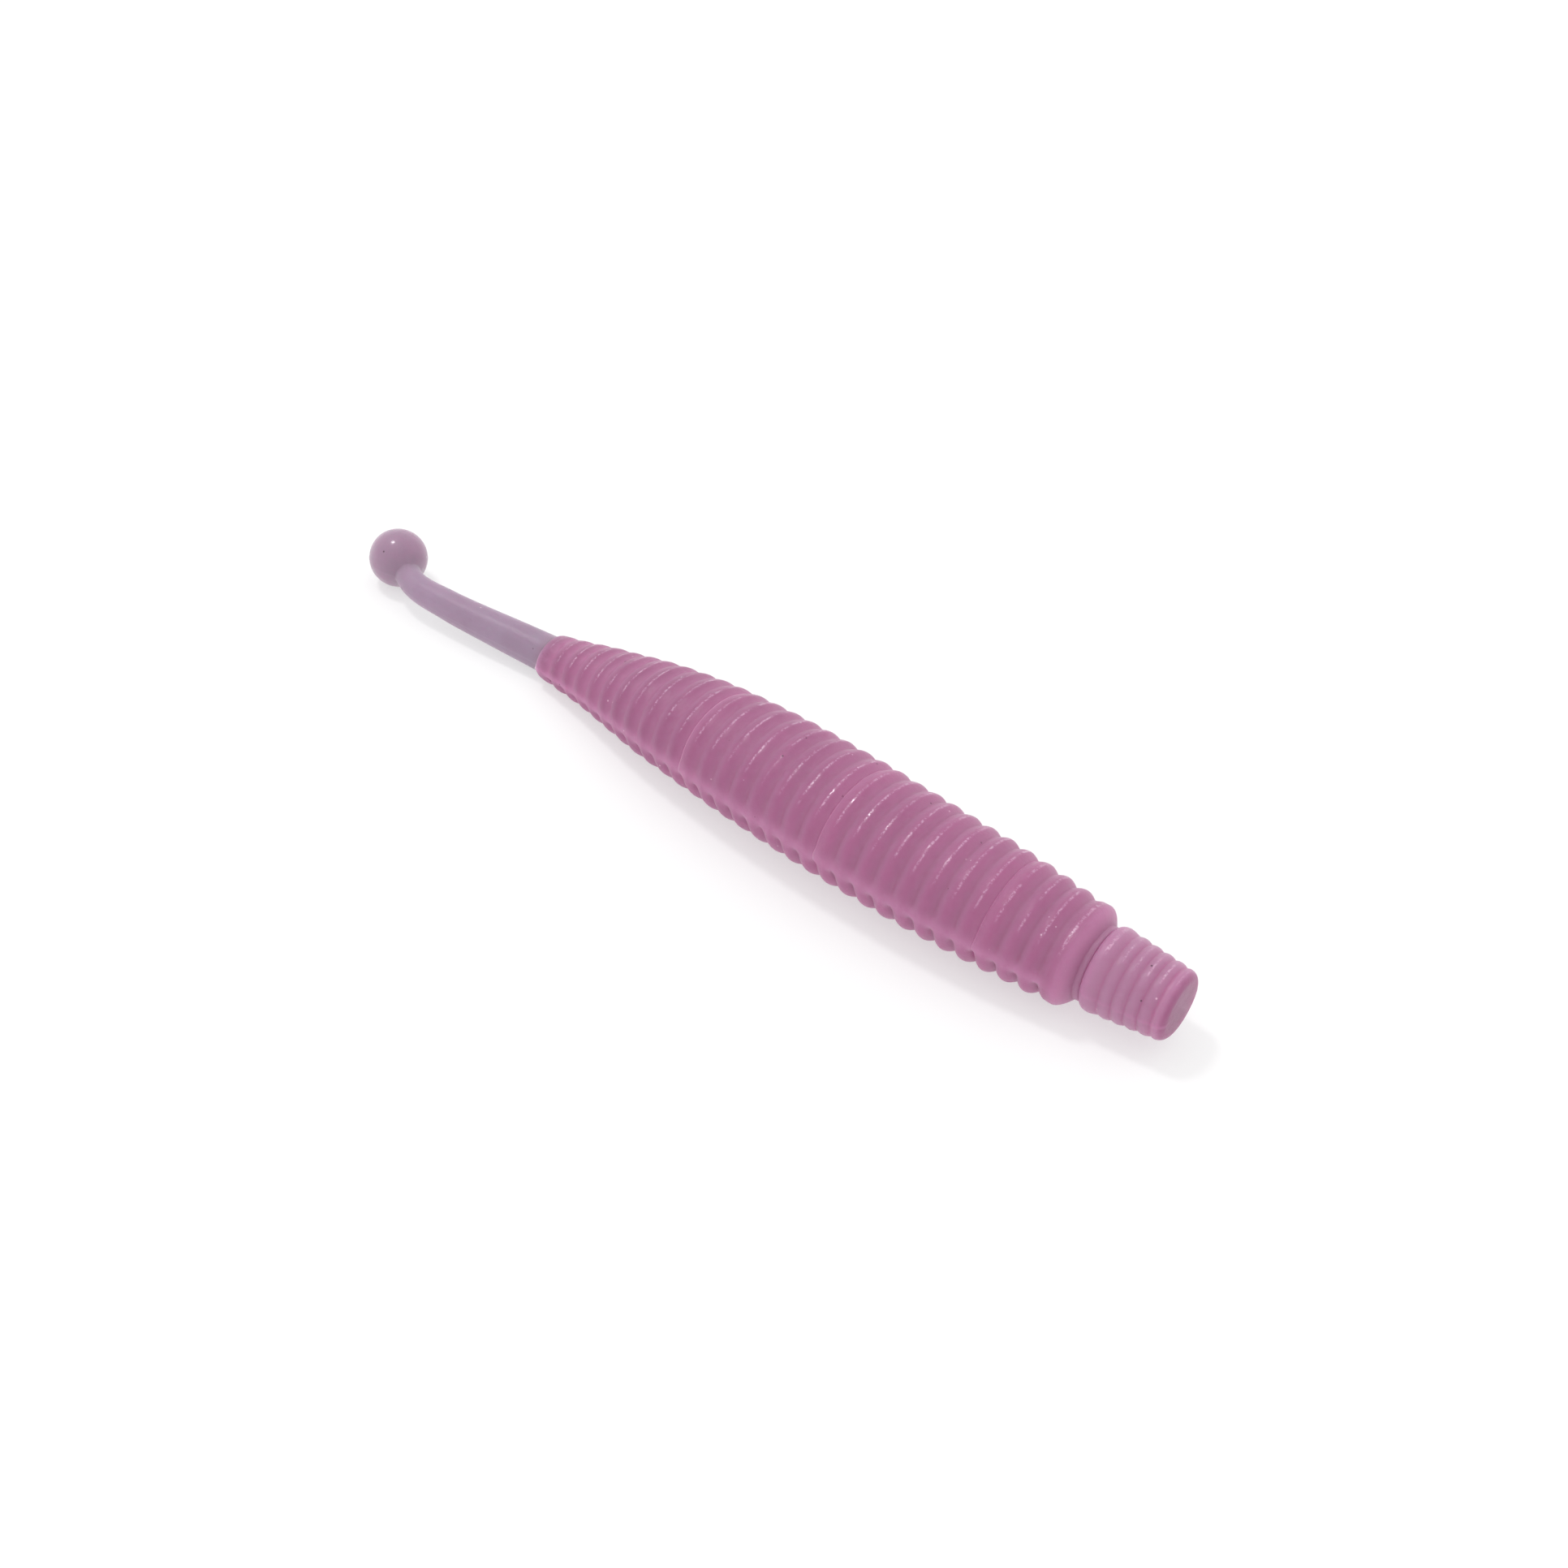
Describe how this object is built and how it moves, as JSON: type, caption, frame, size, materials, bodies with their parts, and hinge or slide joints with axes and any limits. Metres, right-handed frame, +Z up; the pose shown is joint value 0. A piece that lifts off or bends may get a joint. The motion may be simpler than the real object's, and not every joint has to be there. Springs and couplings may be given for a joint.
{
  "type": "soft plastic worm",
  "caption": "Soft plastic fishing worm: a ringed head plug, a fat ringed body that tapers to a thin stem, and a ball tail.",
  "frame": {"origin": "centre of the flat nose face of the head plug", "axes": "+X out of the nose, the worm runs along -X; +Z up as it lies on a flat floor; the tail sweeps to +Y"},
  "size_m": [0.0665, 0.0102, 0.0075],
  "materials": {
    "body_plastic": "satin gloss, translucent",
    "tail_plastic": "satin, translucent"
  },
  "bodies": {
    "head": {"head_ring_01": "body_plastic", "head_ring_02": "body_plastic", "head_ring_03": "body_plastic", "head_ring_04": "body_plastic", "head_ring_05": "body_plastic", "head_ring_06": "body_plastic", "neck": "body_plastic"},
    "body_front": {"body_ring_01": "body_plastic", "body_ring_02": "body_plastic", "body_ring_03": "body_plastic", "body_ring_04": "body_plastic", "body_ring_05": "body_plastic", "body_ring_06": "body_plastic", "body_ring_07": "body_plastic", "body_ring_08": "body_plastic"},
    "body_mid_front": {"body_ring_09": "body_plastic", "body_ring_10": "body_plastic", "body_ring_11": "body_plastic", "body_ring_12": "body_plastic", "body_ring_13": "body_plastic", "body_ring_14": "body_plastic", "body_ring_15": "body_plastic", "body_ring_16": "body_plastic"},
    "body_mid_rear": {"body_ring_17": "body_plastic", "body_ring_18": "body_plastic", "body_ring_19": "body_plastic", "body_ring_20": "body_plastic", "body_ring_21": "body_plastic", "body_ring_22": "body_plastic", "body_ring_23": "body_plastic", "body_ring_24": "body_plastic"},
    "body_rear": {"body_ring_25": "body_plastic", "body_ring_26": "body_plastic", "body_ring_27": "body_plastic", "body_ring_28": "body_plastic", "body_ring_29": "body_plastic", "body_ring_30": "body_plastic", "body_ring_31": "body_plastic"},
    "stem_root": {"stem_root": "tail_plastic"},
    "stem_tip": {"stem_tip": "tail_plastic", "tail_ball": "tail_plastic"}
  },
  "joints": [
    {"name": "neck_nod", "type": "hinge", "parent": "head", "child": "body_front", "pos_m": [-0.00586, 0, 0.00001], "axis": [0, 1, 0], "range_deg": [-10, 10], "stiffness_Nm_per_rad": 0.0005},
    {"name": "body_bend_front", "type": "hinge", "parent": "body_front", "child": "body_mid_front", "pos_m": [-0.01756, 0.00003, 0.00054], "axis": [0.0218, -0.0008, 0.9998], "range_deg": [-10, 10], "stiffness_Nm_per_rad": 0.0022},
    {"name": "body_arch", "type": "hinge", "parent": "body_mid_front", "child": "body_mid_rear", "pos_m": [-0.02876, 0.00079, 0.00055], "axis": [0.0884, 0.9961, 0], "range_deg": [-10, 10], "stiffness_Nm_per_rad": 0.0016},
    {"name": "body_bend_rear", "type": "hinge", "parent": "body_mid_rear", "child": "body_rear", "pos_m": [-0.03996, 0.00197, -0.00025], "axis": [-0.1329, 0.0161, 0.991], "range_deg": [-10, 10], "stiffness_Nm_per_rad": 0.001},
    {"name": "tail_swing", "type": "hinge", "parent": "body_rear", "child": "stem_root", "pos_m": [-0.04976, 0.00302, -0.00171], "axis": [-0.0585, 0.001, 0.9983], "range_deg": [-25, 25], "stiffness_Nm_per_rad": 0.00009},
    {"name": "tail_lift", "type": "hinge", "parent": "stem_root", "child": "stem_tip", "pos_m": [-0.05652, 0.00252, -0.00152], "axis": [-0.0697, 0.9976, 0], "range_deg": [-30, 30], "stiffness_Nm_per_rad": 0.000027}
  ]
}
